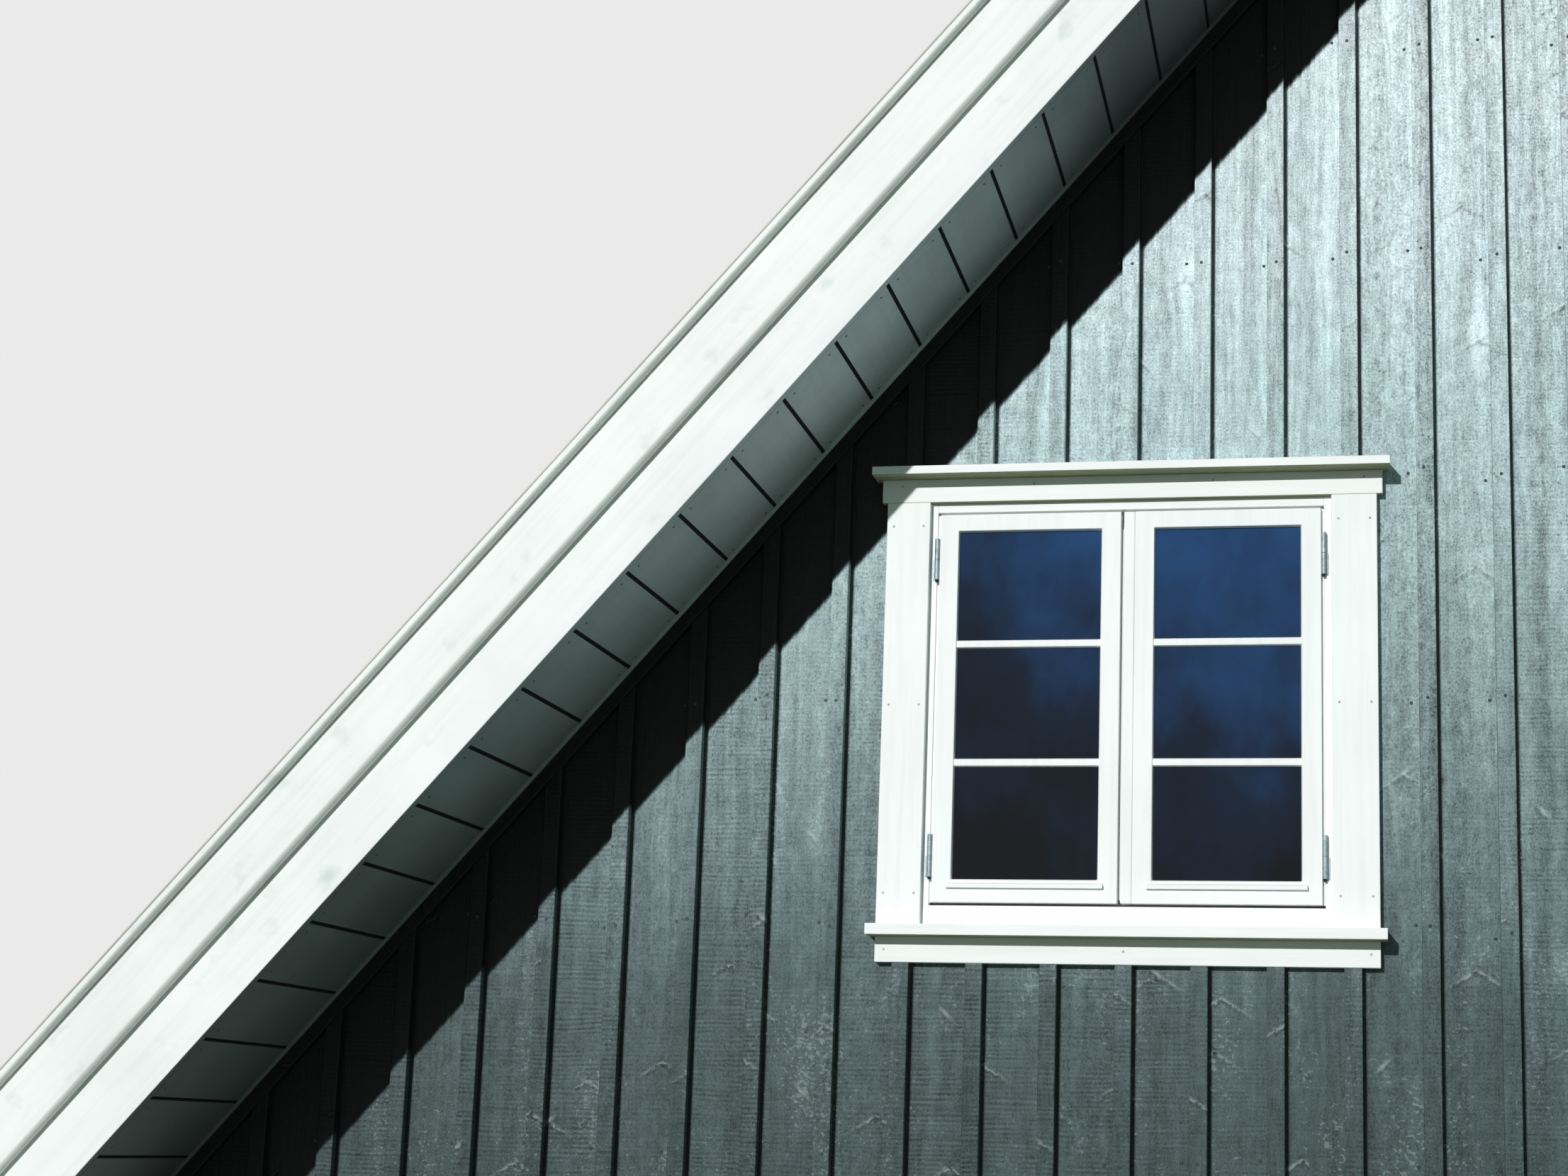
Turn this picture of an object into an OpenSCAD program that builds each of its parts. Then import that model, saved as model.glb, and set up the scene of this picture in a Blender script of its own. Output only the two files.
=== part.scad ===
// Timber gable front with two casement windows, a boarded verge and board-and-batten cladding.
// Millimetres. X runs along the wall, Y from outside to the room, Z up. The front faces -Y.
// The origin is on the ground line, in the middle of the whole piece.

/* [Gable] */
// Width of the wall at the foot, between the two soffits
gable_w = 6860; // [6800:10:7600]
// Pitch of the roof, in degrees
roof_pitch = 48.8; // [48:0.1:51]
// From the cladding boards out to the lower bargeboard's face
overhang = 500; // [360:10:700]

/* [Wall] */
// Thickness of the studded wall
stud_wall_t = 170; // [130:5:250]
// Thickness of the room's wall lining
lining_t = 15; // [10:1:25]

/* [Cladding] */
// Spacing of the boards, and of the battens over their joints
board_pitch = 181; // [150:1:210]
// Open joint between two boards
board_gap = 8; // [4:1:16]
// Thickness of a board
board_t = 22; // [18:1:28]
// Width of a cover batten
batten_w = 42; // [30:1:60]
// Thickness of a cover batten
batten_t = 25; // [18:1:32]
// Width of the batten that follows the soffit
rake_batten_w = 40; // [30:1:60]

/* [Verge] */
// Thickness of the soffit boards
soffit_t = 20; // [14:1:28]
// Width of one soffit board
soffit_board_w = 184; // [120:1:240]
// From the ridge to the first joint of the soffit, along the slope
soffit_start = 160; // [60:1:180]
// Width of the groove at a soffit joint
groove_w = 6; // [3:1:10]
// Depth of that groove
groove_d = 6; // [3:1:9]
// Thickness of a bargeboard
barge_t = 25; // [18:1:32]
// Width of the lower bargeboard
lower_barge_w = 195; // [160:1:220]
// How much of the lower bargeboard shows below the upper one
lower_reveal = 140; // [100:1:150]
// Depth of the verge, from the soffit's underside to the roof boards' top
verge_depth = 278; // [250:1:330]
// Thickness of the roof boards
deck_t = 22; // [16:1:28]
// Thickness of the cap board
cap_t = 21; // [16:1:30]
// Width of the cap board
cap_w = 95; // [75:1:140]
// How far the cap board stands out over the upper bargeboard
cap_nose = 20; // [10:1:40]
// Thickness of the roof covering
felt_t = 5; // [3:1:10]
// Thickness of the fly rafter and of the rungs behind it
rafter_t = 48; // [36:1:70]
// Spacing of the rungs along the slope
rung_pitch = 600; // [400:10:800]

/* [Window opening] */
// Share of the free wall beside a drip cap that lies towards the gable's middle
middle_share = 0.672; // [0.3:0.001:0.9]
// Height of the sill's top over the ground line
sill_z = 800; // [700:5:820]
// Width of the window frame
win_w = 995; // [860:5:1020]
// Height of the window frame
win_h = 1063; // [900:1:1080]

/* [Window frame] */
// Depth of the frame from outside to the room
frame_depth = 115; // [100:1:140]
// How far the frame's face lies behind the casings' face
frame_setback = 17; // [10:1:22]
// Face of a jamb beside the sash
jamb_face = 18; // [12:1:30]
// Face of the head over the sash
head_face = 24; // [15:1:35]
// Face of the foot rail under the sash
foot_face = 50; // [30:1:60]
// How far the stop reaches in behind the sash
stop_w = 21; // [16:1:25]

/* [Sashes] */
// Gap between a sash and the frame
sash_gap = 7; // [4:1:9]
// How far a sash stands out over the frame
sash_proud = 8; // [2:1:14]
// Thickness of a sash
sash_t = 56; // [46:1:64]
// Width of a stile
stile_w = 50; // [42:1:62]
// Height of the top rail
top_rail_h = 45; // [38:1:60]
// Height of the bottom rail
bottom_rail_h = 58; // [50:1:80]
// Panes above each other in a sash
pane_rows = 3; // [2:1:4]
// Height of a glazing bar at the glass
bar_h = 22; // [18:1:32]
// Height of its front edge
bar_front_h = 9; // [5:1:14]
// How far its front edge lies behind the sash's face
bar_inset = 3; // [1:1:6]
// Gap between the two sashes
meeting_gap = 7; // [4:1:9]
// Width of the cover strip at the meeting stile
strip_w = 28; // [20:1:40]
// Width of the splayed edge round the glass
splay_w = 11; // [6:1:14]
// Depth of that splay
splay_d = 9; // [5:1:11]
// From the sash's face in to the glass
glass_inset = 12; // [11:1:16]
// Thickness of the sealed glass
glass_t = 20; // [16:1:24]
// How far the glass reaches into the sash
glass_edge = 12; // [8:1:16]
// Height of the drip bar under the lowest pane
glass_drip_h = 14; // [10:1:20]
// How far the drip bar stands out
glass_drip_nose = 9; // [6:1:14]
// How far the drip bar runs past the glass
glass_drip_end = 15; // [6:1:24]
// How far the drip bar laps over the splay
glass_drip_lap = 2; // [0:1:4]
// Height of the drip bar's front edge
glass_drip_front_h = 9; // [5:1:9]

/* [Hinges] */
// Diameter of a hinge barrel
barrel_d = 13; // [10:1:16]
// Length of a hinge barrel
barrel_l = 105; // [80:1:130]
// From the end of the sash to the barrel
barrel_inset = 62; // [40:1:120]
// Thickness of a hinge leaf
leaf_t = 2.5; // [2:0.5:4]
// Width of the leaf that shows on the jamb
leaf_w = 11; // [7:0.5:11.5]
// Width and depth of the joint between the barrel's two halves
barrel_joint = 1.5; // [1:0.5:2.5]
// How far the pin's tip shows under the barrel
pin_tip_l = 4; // [1:1:8]

/* [Outside trim] */
// Thickness of the casings
casing_t = 25; // [23:1:32]
// Width of a side casing
casing_w = 110; // [90:1:120]
// Height of the head casing
head_casing_h = 60; // [50:1:90]
// How far the head casing runs past the side casings
head_casing_ear = 14; // [0:1:20]
// Thickness of the drip cap
drip_cap_t = 22; // [16:1:30]
// How far the drip cap stands out over the casings
drip_cap_nose = 55; // [30:1:80]
// How far the drip cap runs past the head casing
drip_cap_ear = 18; // [5:1:25]
// Thickness of the sill
sill_t = 28; // [20:1:36]
// How far the sill stands out over the casings
sill_nose = 52; // [30:1:80]
// How far the sill runs past the side casings
sill_ear = 16; // [5:1:30]
// Fall of the drip cap's and the sill's top
trim_fall = 5; // [2:1:8]
// From the nose's edge back to the drip groove under it
drip_groove_inset = 10; // [6:1:14]
// Width of that groove
drip_groove_w = 5; // [3:1:6]
// Depth of that groove
drip_groove_d = 4; // [2:1:6]
// Height of the apron under the sill
apron_h = 63; // [50:1:90]

/* [Room side] */
// Thickness of the reveal boards
reveal_t = 18; // [12:1:22]
// Thickness of the window board
window_board_t = 22; // [18:1:30]
// How far the window board stands out into the room
window_board_nose = 20; // [15:1:40]
// How far the window board runs past the opening
window_board_ear = 30; // [10:1:60]
// Length of a latch's base plate
latch_plate_l = 64; // [50:1:80]
// Width of a latch's base plate
latch_plate_w = 28; // [20:1:36]
// Thickness of a latch's base plate
latch_plate_t = 6; // [4:1:10]
// Length of a latch's lever
latch_lever_l = 105; // [80:1:130]
// Width of the lever
latch_lever_w = 16; // [12:1:20]
// Thickness of the lever
latch_lever_t = 9; // [6:1:12]
// How far the latch's spindle stands out
latch_spindle_l = 24; // [18:1:36]
// Diameter of the spindle
latch_spindle_d = 12; // [8:1:14]

/* [Hidden] */
$fn = 48;

white = [0.93, 0.94, 0.93];
stain = [0.20, 0.22, 0.23];
shade = [0.62, 0.64, 0.65];
bare_wood = [0.76, 0.62, 0.44];
zinc = [0.66, 0.72, 0.73];

// Planes of the wall, from the front to the room
front_depth = overhang + barge_t + cap_nose;
back_depth = board_t + stud_wall_t + lining_t + window_board_nose;
boards_y = (front_depth - back_depth) / 2;
studs_y = boards_y + board_t;
lining_y = studs_y + stud_wall_t;
room_y = lining_y + lining_t;
battens_y = boards_y - batten_t;
casings_y = boards_y - casing_t;
frame_y = casings_y + frame_setback;
sash_y = frame_y - sash_proud;
stop_y = sash_y + sash_t;
frame_back_y = frame_y + frame_depth;
glass_y = sash_y + glass_inset;

// Planes of the verge
lower_barge_y = boards_y - overhang;
upper_barge_y = lower_barge_y - barge_t;
ladder_y = lower_barge_y + barge_t;
cap_y = upper_barge_y - cap_nose;

// Levels of the verge, square to the slope, from the soffit's underside
deck_level = verge_depth - deck_t;
cap_level = verge_depth + cap_t;
slope_l = gable_w / 2 / cos(roof_pitch);

// Levels of a window
head_z = sill_z + win_h;
sash_low_z = sill_z + foot_face + sash_gap;
sash_high_z = head_z - head_face - sash_gap;
glass_low_z = sash_low_z + bottom_rail_h;
glass_high_z = sash_high_z - top_rail_h;
pane_h = (glass_high_z - glass_low_z - (pane_rows - 1) * bar_h) / pane_rows;
head_casing_z = head_z + head_casing_h;
drip_cap_z = head_casing_z + drip_cap_t;
apron_z = sill_z - sill_t;

// Half widths of a window
jamb_x = win_w / 2 - jamb_face;
stop_x = jamb_x - stop_w;
sash_x = jamb_x - sash_gap;
casing_x = win_w / 2 + casing_w;
head_casing_x = casing_x + head_casing_ear;
sash_w = (2 * sash_x - meeting_gap - strip_w) / 2;
pane_w = sash_w - 2 * stile_w;
outer_sash_x0 = -sash_x;
inner_sash_x0 = sash_x - sash_w;

// A window stands between the gable's centre line and the rake batten, at its drip cap's level
drip_cap_x = head_casing_x + drip_cap_ear;
rake_batten_x = foot_x(-rake_batten_w) - drip_cap_z / tan(roof_pitch);
window_x = drip_cap_x + middle_share * (rake_batten_x - 2 * drip_cap_x);

// How far a cut runs past a face
past = 10;

module block(x, y, z)
    translate([x[0], y[0], z[0]])
        cube([x[1] - x[0], y[1] - y[0], z[1] - z[0]]);

// An outline drawn in the wall's plane, given its depth from y[0] to y[1]
module upright(y)
    translate([0, y[1], 0])
        rotate([90, 0, 0])
            linear_extrude(y[1] - y[0])
                children();

// A profile drawn with outside-to-room across and height up, run along the wall
module moulding(x)
    translate([x[0], 0, 0])
        rotate([90, 0, 90])
            linear_extrude(x[1] - x[0])
                children();

module left() children();

module right() mirror([1, 0, 0]) children();

module both_sides() {
    left() children();
    right() children();
}

// The gable's outline at a level square to the slope
function foot_x(level) = gable_w / 2 + level / sin(roof_pitch);
function ridge_z(level) = foot_x(level) * tan(roof_pitch);

module gable_outline(level)
    polygon([[-foot_x(level), 0], [foot_x(level), 0], [0, ridge_z(level)]]);

// A board that follows the left slope between two levels
module rake(levels, y)
    upright(y)
        polygon([
            [-foot_x(levels[0]), 0], [-foot_x(levels[1]), 0],
            [0, ridge_z(levels[1])], [0, ridge_z(levels[0])]
        ]);

// Space of the left slope: x up the slope from its foot, z square to it
module on_slope()
    translate([-gable_w / 2, 0, 0])
        rotate([0, -roof_pitch, 0])
            children();

module at_window() translate([-window_x, 0, 0]) children();

module window_openings()
    both_sides()
        at_window()
            translate([-win_w / 2, sill_z])
                square([win_w, win_h]);

// Everything that is nailed on the boards round a window
module trim_outline() {
    translate([-casing_x, apron_z - apron_h])
        square([2 * casing_x, head_z - apron_z + apron_h]);
    translate([-casing_x - sill_ear, apron_z])
        square([2 * (casing_x + sill_ear), sill_t]);
    translate([-head_casing_x, head_z])
        square([2 * head_casing_x, head_casing_h]);
    translate([-drip_cap_x, head_casing_z])
        square([2 * drip_cap_x, drip_cap_t]);
}

// Studded wall, split beside, between and over the windows

module wall_part(x, z)
    color(bare_wood)
        upright([studs_y, lining_y])
            intersection() {
                gable_outline(deck_level);
                translate([x[0], z[0]])
                    square([x[1] - x[0], z[1] - z[0]]);
            }

module wall_foot()
    wall_part([-foot_x(deck_level), foot_x(deck_level)], [0, sill_z]);

module wall_end()
    wall_part([-foot_x(deck_level), -window_x - win_w / 2], [sill_z, head_z]);

module wall_middle()
    wall_part([-window_x + win_w / 2, window_x - win_w / 2], [sill_z, head_z]);

module wall_top()
    wall_part([-foot_x(deck_level), foot_x(deck_level)], [head_z, ridge_z(deck_level)]);

module inner_lining()
    color(white)
        upright([lining_y, room_y])
            difference() {
                gable_outline(deck_level);
                window_openings();
            }

// Cladding

module stripes(shift, width) {
    count = ceil(gable_w / 2 / board_pitch);
    for (i = [-count : count])
        translate([(i + shift) * board_pitch - width / 2, 0])
            square([width, ridge_z(soffit_t)]);
}

module cladding_boards()
    color(stain)
        upright([boards_y, studs_y])
            difference() {
                intersection() {
                    gable_outline(soffit_t);
                    stripes(0.5, board_pitch - board_gap);
                }
                window_openings();
            }

module cover_battens()
    color(stain)
        upright([battens_y, boards_y])
            difference() {
                intersection() {
                    gable_outline(-rake_batten_w);
                    stripes(0, batten_w);
                }
                both_sides() at_window() trim_outline();
            }

module rake_battens()
    color(stain)
        both_sides() rake([-rake_batten_w, 0], [battens_y, boards_y]);

// Verge and roof

module soffit()
    color(shade)
        difference() {
            rake([0, soffit_t], [ladder_y, boards_y]);
            on_slope()
                for (s = [slope_l - soffit_start : -soffit_board_w : groove_w])
                    translate([s - groove_w / 2, ladder_y - past, -past])
                        cube([groove_w, overhang + 2 * past, past + groove_d]);
        }

module lower_bargeboard()
    color(white)
        rake([0, lower_barge_w], [lower_barge_y, ladder_y]);

module upper_bargeboard()
    color(white)
        rake([lower_reveal, verge_depth], [upper_barge_y, lower_barge_y]);

module verge_cap()
    color(white)
        rake([verge_depth, cap_level], [cap_y, cap_y + cap_w]);

module roof_deck()
    color(bare_wood)
        rake([deck_level, verge_depth], [lower_barge_y, room_y]);

// The fly rafter behind the bargeboards, with rungs back to the wall
module verge_ladder() {
    rake([soffit_t, deck_level], [ladder_y, ladder_y + rafter_t]);
    on_slope()
        for (s = [rung_pitch / 2 : rung_pitch : slope_l - rung_pitch / 4])
            translate([s, ladder_y + rafter_t, soffit_t])
                cube([rafter_t, studs_y - ladder_y - rafter_t, deck_level - soffit_t]);
}

module verge_ladders()
    color(bare_wood)
        both_sides() verge_ladder();

module roof_felt()
    color([0.33, 0.27, 0.23])
        both_sides() {
            rake([cap_level, cap_level + felt_t], [cap_y, cap_y + cap_w + felt_t]);
            rake([verge_depth, cap_level + felt_t], [cap_y + cap_w, cap_y + cap_w + felt_t]);
            rake([verge_depth, verge_depth + felt_t], [cap_y + cap_w, room_y]);
        }

// Window frame, with a stop behind the sashes

module jamb()
    linear_extrude(win_h)
        polygon([
            [-win_w / 2, frame_y], [-jamb_x, frame_y], [-jamb_x, stop_y],
            [-stop_x, stop_y], [-stop_x, frame_back_y], [-win_w / 2, frame_back_y]
        ]);

module jambs()
    color(white)
        at_window()
            translate([0, 0, sill_z])
                both_sides() jamb();

module frame_rails()
    color(white)
        at_window() {
            block([-jamb_x, jamb_x], [frame_y, stop_y], [head_z - head_face, head_z]);
            block([-stop_x, stop_x], [stop_y, frame_back_y], [head_z - head_face - stop_w, head_z]);
            block([-jamb_x, jamb_x], [frame_y, stop_y], [sill_z, sill_z + foot_face]);
            block([-stop_x, stop_x], [stop_y, frame_back_y], [sill_z, sill_z + foot_face + stop_w]);
        }

// Sashes, with splayed edges round the glass and bars on both of its sides

// A splay is where two wedges meet, one seen from above and one seen from the end
module splay_cut()
    intersection() {
        translate([0, 0, glass_low_z - splay_w])
            linear_extrude(glass_high_z - glass_low_z + 2 * splay_w)
                polygon(splay_outline(-pane_w / 2, pane_w / 2, false));
        moulding([-pane_w / 2 - splay_w, pane_w / 2 + splay_w])
            polygon(splay_outline(glass_low_z, glass_high_z, true));
    }

function splay_outline(low, high, depth_first) = [
    for (p = [
        [low - splay_w, sash_y - past], [low - splay_w, sash_y], [low, sash_y + splay_d],
        [high, sash_y + splay_d], [high + splay_w, sash_y], [high + splay_w, sash_y - past]
    ]) depth_first ? [p[1], p[0]] : p
];

// Outside the glass a bar tapers to its front edge, and inside it is square
module glazing_bar(z) {
    slant = (bar_h - bar_front_h) / 2;
    moulding([-pane_w / 2 - splay_w, pane_w / 2 + splay_w])
        polygon([
            [glass_y, z], [sash_y + bar_inset, z + slant],
            [sash_y + bar_inset, z + bar_h - slant], [glass_y, z + bar_h]
        ]);
    block([-pane_w / 2 - glass_edge, pane_w / 2 + glass_edge],
        [glass_y + glass_t, stop_y], [z, z + bar_h]);
}

module sash(x0)
    color(white)
        at_window()
            translate([x0 + sash_w / 2, 0, 0]) {
                difference() {
                    block([-sash_w / 2, sash_w / 2], [sash_y, stop_y], [sash_low_z, sash_high_z]);
                    block([-pane_w / 2, pane_w / 2], [sash_y - past, stop_y + past],
                        [glass_low_z, glass_high_z]);
                    splay_cut();
                    block([-pane_w / 2 - glass_edge, pane_w / 2 + glass_edge],
                        [glass_y, glass_y + glass_t],
                        [glass_low_z - glass_edge, glass_high_z + glass_edge]);
                }
                for (row = [1 : pane_rows - 1])
                    glazing_bar(glass_low_z + row * (pane_h + bar_h) - bar_h);
            }

module glass_unit(x0)
    block([x0 + stile_w - glass_edge, x0 + sash_w - stile_w + glass_edge],
        [glass_y, glass_y + glass_t],
        [glass_low_z - glass_edge, glass_high_z + glass_edge]);

module window_glass()
    color([0.16, 0.22, 0.30])
        both_sides() at_window() {
            glass_unit(outer_sash_x0);
            glass_unit(inner_sash_x0);
        }

module meeting_strips()
    color(white)
        both_sides() at_window()
            block([inner_sash_x0 - strip_w, inner_sash_x0], [sash_y, stop_y],
                [sash_low_z, sash_high_z]);

module glass_drip(x0) {
    top_z = glass_low_z - splay_w + glass_drip_lap;
    low_z = top_z - glass_drip_h;
    moulding([x0 + stile_w - glass_drip_end, x0 + sash_w - stile_w + glass_drip_end])
        polygon([
            [sash_y, top_z], [sash_y - glass_drip_nose, low_z + glass_drip_front_h],
            [sash_y - glass_drip_nose, low_z], [sash_y, low_z]
        ]);
}

module glazing_drips()
    color(white)
        both_sides() at_window() {
            glass_drip(outer_sash_x0);
            glass_drip(inner_sash_x0);
        }

// Lift-off hinges: a two-part barrel in the corner of frame and sash, its leaf on the jamb

module barrel() {
    r = barrel_d / 2;
    edge = 1;
    rotate_extrude()
        polygon([
            [0, -pin_tip_l], [r / 2, -pin_tip_l], [r / 2, 0], [r - edge, 0], [r, edge],
            [r, (barrel_l - barrel_joint) / 2], [r - barrel_joint, (barrel_l - barrel_joint) / 2],
            [r - barrel_joint, (barrel_l + barrel_joint) / 2], [r, (barrel_l + barrel_joint) / 2],
            [r, barrel_l - edge], [r - edge, barrel_l], [0, barrel_l]
        ]);
}

module hinge(z)
    translate([-sash_x - barrel_d / 2, frame_y - barrel_d / 2, z]) {
        barrel();
        block([-leaf_w, 0], [barrel_d / 2 - leaf_t, barrel_d / 2], [0, barrel_l / 2]);
    }

module hinge_pair() {
    hinge(sash_low_z + barrel_inset);
    hinge(sash_high_z - barrel_inset - barrel_l);
}

module window_hinges()
    color(zinc)
        both_sides() at_window() both_sides() hinge_pair();

// Casings and trim outside

module side_casings()
    color(white)
        at_window() both_sides()
            block([-casing_x, -win_w / 2], [casings_y, boards_y], [sill_z, head_z]);

module head_casing()
    color(white)
        at_window()
            block([-head_casing_x, head_casing_x], [casings_y, boards_y], [head_z, head_casing_z]);

// A board that falls outwards, with a drip groove under its nose
module weather_board(x, nose, z, thickness) {
    front_y = casings_y - nose;
    moulding([-x, x])
        difference() {
            polygon([
                [front_y, z], [boards_y, z], [boards_y, z + thickness],
                [casings_y, z + thickness], [front_y, z + thickness - trim_fall]
            ]);
            translate([front_y + drip_groove_inset, z - past])
                square([drip_groove_w, past + drip_groove_d]);
        }
}

module drip_cap()
    color(white)
        at_window()
            weather_board(drip_cap_x, drip_cap_nose, head_casing_z, drip_cap_t);

module sill()
    color(white)
        at_window() weather_board(casing_x + sill_ear, sill_nose, apron_z, sill_t);

module apron()
    color(white)
        at_window()
            block([-casing_x, casing_x], [casings_y, boards_y], [apron_z - apron_h, apron_z]);

// Room side

module reveal_sides()
    color(white)
        both_sides() at_window() both_sides()
            block([-win_w / 2, reveal_t - win_w / 2], [frame_back_y, room_y],
                [sill_z + window_board_t, head_z - reveal_t]);

module reveal_heads()
    color(white)
        both_sides() at_window()
            block([-win_w / 2, win_w / 2], [frame_back_y, room_y], [head_z - reveal_t, head_z]);

module window_boards()
    color(white)
        both_sides() at_window() {
            ear_x = win_w / 2 + window_board_ear;
            block([-win_w / 2, win_w / 2], [frame_back_y, room_y + window_board_nose],
                [sill_z, sill_z + window_board_t]);
            block([-ear_x, ear_x], [room_y, room_y + window_board_nose],
                [sill_z, sill_z + window_board_t]);
        }

module latch() {
    spindle_y = stop_y + latch_plate_t + latch_spindle_l;
    block([-latch_plate_w / 2, latch_plate_w / 2], [stop_y, stop_y + latch_plate_t],
        [-latch_plate_l / 2, latch_plate_l / 2]);
    translate([0, spindle_y, 0])
        rotate([90, 0, 0])
            cylinder(d = latch_spindle_d, h = latch_spindle_l);
    block([-latch_lever_w / 2, latch_lever_w / 2], [spindle_y, spindle_y + latch_lever_t],
        [latch_lever_w / 2 - latch_lever_l, latch_lever_w / 2]);
}

module window_latches()
    color(zinc)
        both_sides() at_window()
            translate([inner_sash_x0 + stile_w / 2 - strip_w / 2, 0, (sash_low_z + sash_high_z) / 2])
                latch();

wall_foot();
left() wall_end();  // wall_left
wall_middle();
right() wall_end();  // wall_right
wall_top();
inner_lining();
cladding_boards();
cover_battens();
rake_battens();
left() soffit();  // left_soffit
right() soffit();  // right_soffit
left() lower_bargeboard();  // left_lower_bargeboard
right() lower_bargeboard();  // right_lower_bargeboard
left() upper_bargeboard();  // left_upper_bargeboard
right() upper_bargeboard();  // right_upper_bargeboard
left() verge_cap();  // left_verge_cap
right() verge_cap();  // right_verge_cap
verge_ladders();
left() roof_deck();  // left_roof_deck
right() roof_deck();  // right_roof_deck
roof_felt();
left() jambs();  // left_window_jambs
right() jambs();  // right_window_jambs
left() frame_rails();  // left_window_rails
right() frame_rails();  // right_window_rails
left() sash(outer_sash_x0);  // left_window_outer_sash
right() sash(outer_sash_x0);  // right_window_outer_sash
left() sash(inner_sash_x0);  // left_window_inner_sash
right() sash(inner_sash_x0);  // right_window_inner_sash
left() side_casings();  // left_window_side_casings
right() side_casings();  // right_window_side_casings
left() head_casing();  // left_window_head_casing
right() head_casing();  // right_window_head_casing
left() drip_cap();  // left_window_drip_cap
right() drip_cap();  // right_window_drip_cap
left() sill();  // left_window_sill
right() sill();  // right_window_sill
left() apron();  // left_window_apron
right() apron();  // right_window_apron
window_glass();
window_hinges();
meeting_strips();
glazing_drips();
reveal_sides();
reveal_heads();
window_boards();
window_latches();
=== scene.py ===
import math
import random

import bmesh
import bpy
from mathutils import Matrix, Vector


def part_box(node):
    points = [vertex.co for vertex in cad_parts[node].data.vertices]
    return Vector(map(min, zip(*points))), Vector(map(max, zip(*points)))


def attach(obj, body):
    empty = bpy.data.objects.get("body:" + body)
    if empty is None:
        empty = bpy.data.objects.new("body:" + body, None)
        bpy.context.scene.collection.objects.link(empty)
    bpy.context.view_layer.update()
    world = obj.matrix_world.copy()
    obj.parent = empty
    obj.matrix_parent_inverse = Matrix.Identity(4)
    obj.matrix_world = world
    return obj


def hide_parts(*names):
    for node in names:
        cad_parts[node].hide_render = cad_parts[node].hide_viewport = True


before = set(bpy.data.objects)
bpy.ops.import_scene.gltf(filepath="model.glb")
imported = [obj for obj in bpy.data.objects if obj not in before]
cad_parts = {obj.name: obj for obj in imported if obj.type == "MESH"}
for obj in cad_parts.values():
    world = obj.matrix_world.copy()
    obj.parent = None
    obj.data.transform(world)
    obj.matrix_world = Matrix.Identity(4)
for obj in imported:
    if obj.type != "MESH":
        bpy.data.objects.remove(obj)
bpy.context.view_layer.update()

# The studded wall stands first. It is a timber frame closed with boards, built as five panels
# round the two window openings, and it is left bare because cladding and lining hide it.
BARE_WOOD = ((0.30, 0.19, 0.10), (0.47, 0.33, 0.19), (0.60, 0.45, 0.28))
SLOPE = math.radians(48.8)


def new_node(finish, kind, sockets=(), **settings):
    made = finish.node_tree.nodes.new(kind)
    for name, value in settings.items():
        setattr(made, name, value)
    for socket, value in dict(sockets).items():
        if isinstance(value, bpy.types.NodeSocket):
            finish.node_tree.links.new(value, made.inputs[socket])
        else:
            made.inputs[socket].default_value = value
    return made


def sum_of(finish, operation, first, second=0.0, third=0.0):
    sockets = {0: first, 1: second, 2: third}
    return new_node(finish, "ShaderNodeMath", sockets, operation=operation).outputs[0]


def new_finish(name, roughness, specular=0.5, metallic=0.0):
    finish = bpy.data.materials.new(name)
    finish.use_nodes = True
    shader = finish.node_tree.nodes["Principled BSDF"]
    shader.inputs["Roughness"].default_value = roughness
    shader.inputs["Specular IOR Level"].default_value = specular
    shader.inputs["Metallic"].default_value = metallic
    return finish, shader


def metres(finish, up_the_slope=False):
    """Object coordinates. Up a slope, z follows the rake and both halves of the gable read alike."""
    place = new_node(finish, "ShaderNodeTexCoord").outputs["Object"]
    if not up_the_slope:
        return place
    xyz = new_node(finish, "ShaderNodeSeparateXYZ", {0: place}).outputs
    from_ridge = sum_of(finish, "ABSOLUTE", xyz[0])
    place = new_node(finish, "ShaderNodeCombineXYZ", {0: from_ridge, 1: xyz[1], 2: xyz[2]}).outputs[0]
    lean = {"Vector": place, "Rotation": (0.0, math.radians(90.0) - SLOPE, 0.0)}
    return new_node(finish, "ShaderNodeMapping", lean).outputs[0]


def speckle(finish, place, per_metre, detail=3.0, rough=0.55, shift=(0.0, 0.0, 0.0)):
    """Noise drawn out along an axis by a low count per metre on it."""
    spread = new_node(finish, "ShaderNodeMapping", {"Vector": place, "Scale": per_metre, "Location": shift})
    sockets = {"Vector": spread.outputs[0], "Scale": 1.0, "Detail": detail, "Roughness": rough}
    return new_node(finish, "ShaderNodeTexNoise", sockets).outputs[0]


def tint(finish, amount, stops):
    ramp = new_node(finish, "ShaderNodeValToRGB", {0: amount})
    while len(ramp.color_ramp.elements) < len(stops):
        ramp.color_ramp.elements.new(0.5)
    for element, (position, colour) in zip(ramp.color_ramp.elements, stops):
        element.position = position
        element.color = (*colour, 1.0)
    return ramp.outputs[0]


def blend(finish, amount, first, second, blend_type="MIX"):
    sockets = {0: amount, 6: first, 7: second}
    return new_node(finish, "ShaderNodeMix", sockets, data_type="RGBA", blend_type=blend_type).outputs[2]


def relief(finish, shader, height, depth):
    bump = new_node(finish, "ShaderNodeBump", {"Height": height, "Distance": depth, "Strength": 1.0})
    finish.node_tree.links.new(bump.outputs[0], shader.inputs["Normal"])


def set_colour(finish, shader, colour):
    finish.node_tree.links.new(colour, shader.inputs["Base Color"])


def grey(share):
    return (share, share, share)


def grain(along, lengthwise, across):
    """Counts per metre for a pattern that is drawn out along a board's grain."""
    return [lengthwise if axis == along else across for axis in "xyz"]


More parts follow.
